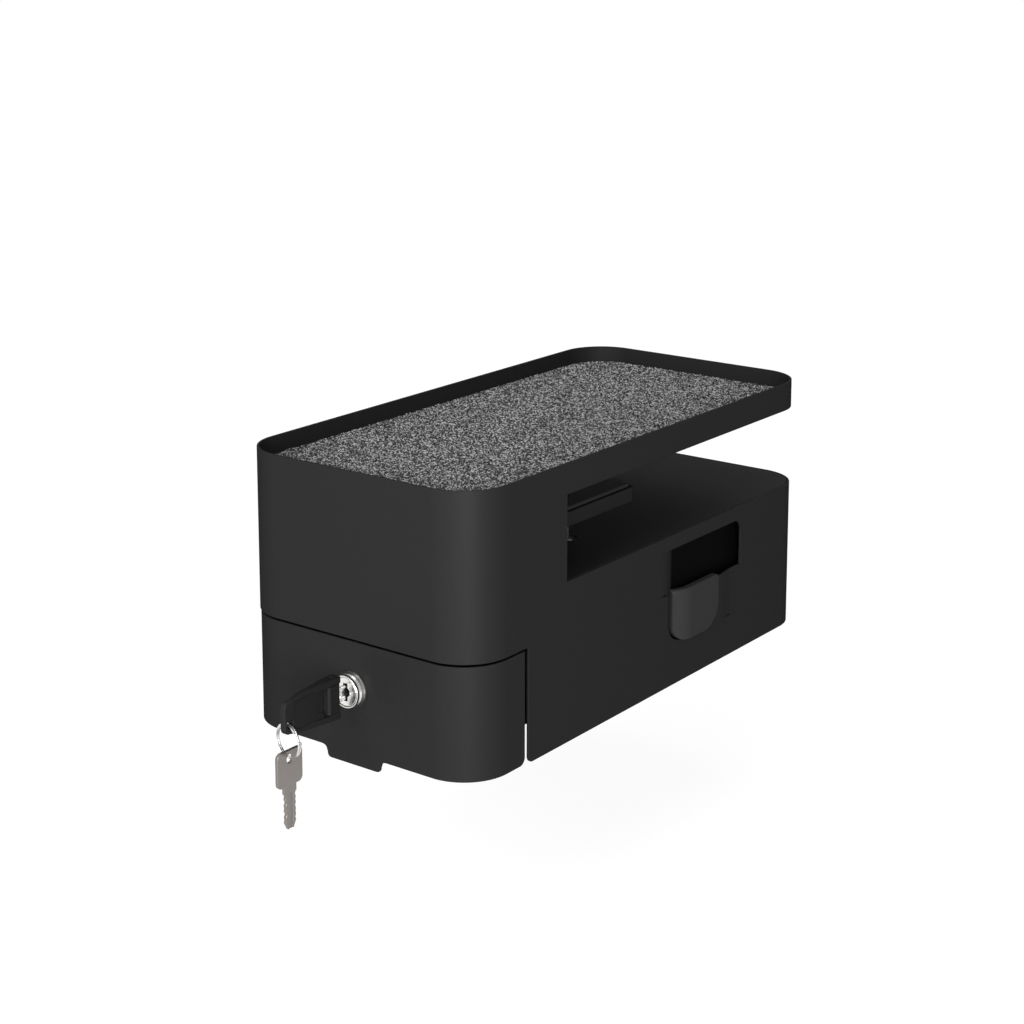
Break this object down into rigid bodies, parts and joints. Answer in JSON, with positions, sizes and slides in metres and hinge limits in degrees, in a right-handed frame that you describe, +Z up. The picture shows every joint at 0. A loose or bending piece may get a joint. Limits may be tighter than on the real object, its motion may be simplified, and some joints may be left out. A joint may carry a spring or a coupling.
{
  "type": "desktop locker",
  "caption": "Desk-edge locker: black sheet-steel body with a slot for the desk, a felt-lined tray on top, a locking drawer below with a folding key, and a bag hook on its side.",
  "frame": {"origin": "middle of the tray's underside where it lies on the desk top, behind the desk stop", "axes": "+X to the right seen from the drawer front, +Y from the drawer front to the rear, +Z up"},
  "size_m": [0.1788, 0.4246, 0.1914],
  "materials": {
    "powder_black": "fine matt powder coat",
    "felt_grey": "heather grey felt",
    "pad_black": "dull",
    "zinc": "zinc plated",
    "satin_chrome": "satin",
    "nickel_silver": "nickel plated",
    "moulded_black": "satin moulded"
  },
  "bodies": {
    "housing": {"body_shell": "powder_black", "hook_cap": "moulded_black", "tray_floor": "powder_black", "tray_felt": "felt_grey", "desk_pad": "pad_black", "slot_liner": "powder_black", "clamp_bush_1": "zinc", "clamp_bush_2": "zinc", "rail_outer_left": "zinc", "rail_outer_right": "zinc", "rail_bracket_left": "powder_black", "rail_bracket_right": "powder_black", "cam_keeper": "zinc"},
    "drawer": {"drawer_front": "powder_black", "drawer_nose": "powder_black", "drawer_floor": "powder_black", "drawer_back": "powder_black", "drawer_side_left": "powder_black", "drawer_side_right": "powder_black", "rail_inner_left": "zinc", "rail_inner_right": "zinc", "lock_body": "satin_chrome", "lock_nut": "zinc"},
    "middle_rail_left": {"rail_middle_left": "zinc"},
    "middle_rail_right": {"rail_middle_right": "zinc"},
    "plug": {"lock_plug": "satin_chrome", "lock_cam": "zinc", "cam_nut": "zinc", "key_blade": "nickel_silver", "key_block": "moulded_black", "key_pin": "zinc"},
    "folding_head": {"key_head": "moulded_black"},
    "ring": {"split_ring": "satin_chrome"},
    "spare": {"spare_key": "nickel_silver"},
    "clamp": {"clamp_plate": "powder_black", "clamp_pad": "pad_black"},
    "screw_1": {"clamp_screw_1": "zinc"},
    "screw_2": {"clamp_screw_2": "zinc"}
  },
  "joints": [
    {"name": "drawer_slide", "type": "slide", "parent": "housing", "child": "drawer", "axis": [0, -1, 0], "range_m": [0, 0.3]},
    {"name": "middle_rail_left_slide", "type": "slide", "parent": "housing", "child": "middle_rail_left", "axis": [0, -1, 0], "range_m": [0, 0.15]},
    {"name": "middle_rail_right_slide", "type": "slide", "parent": "housing", "child": "middle_rail_right", "axis": [0, -1, 0], "range_m": [0, 0.15]},
    {"name": "lock_turn", "type": "hinge", "parent": "drawer", "child": "plug", "pos_m": [0, -0.2241, -0.1089], "axis": [0, 1, 0], "range_deg": [0, 90]},
    {"name": "key_head_fold", "type": "hinge", "parent": "plug", "child": "folding_head", "pos_m": [0, -0.2422, -0.1089], "axis": [0, 0, 1], "range_deg": [-90, 90]},
    {"name": "ring_swing", "type": "hinge", "parent": "folding_head", "child": "ring", "pos_m": [0, -0.2768, -0.1126], "axis": [1, 0, 0], "range_deg": [-45, 22]},
    {"name": "spare_key_swing", "type": "hinge", "parent": "ring", "child": "spare", "pos_m": [0, -0.2768, -0.1318], "axis": [-1, 0, 0], "range_deg": [-50, 50]},
    {"name": "clamp_lift", "type": "slide", "parent": "housing", "child": "clamp", "axis": [0, 0, 1], "range_m": [-0.014, 0.006]},
    {"name": "screw_1_turn", "type": "hinge", "parent": "clamp", "child": "screw_1", "pos_m": [-0.035, -0.0699, -0.0306], "axis": [0, 0, 1], "range_deg": [-2521, 1081]},
    {"name": "screw_2_turn", "type": "hinge", "parent": "clamp", "child": "screw_2", "pos_m": [0.035, -0.0699, -0.0306], "axis": [0, 0, 1], "range_deg": [-2521, 1081]}
  ],
  "couplings": [
    {"joint": "middle_rail_left_slide", "follows": "drawer_slide", "ratio": 0.5},
    {"joint": "middle_rail_right_slide", "follows": "drawer_slide", "ratio": 0.5},
    {"joint": "screw_1_turn", "follows": "clamp_lift", "rad_per_m": 3141.6},
    {"joint": "screw_2_turn", "follows": "clamp_lift", "rad_per_m": 3141.6}
  ]
}
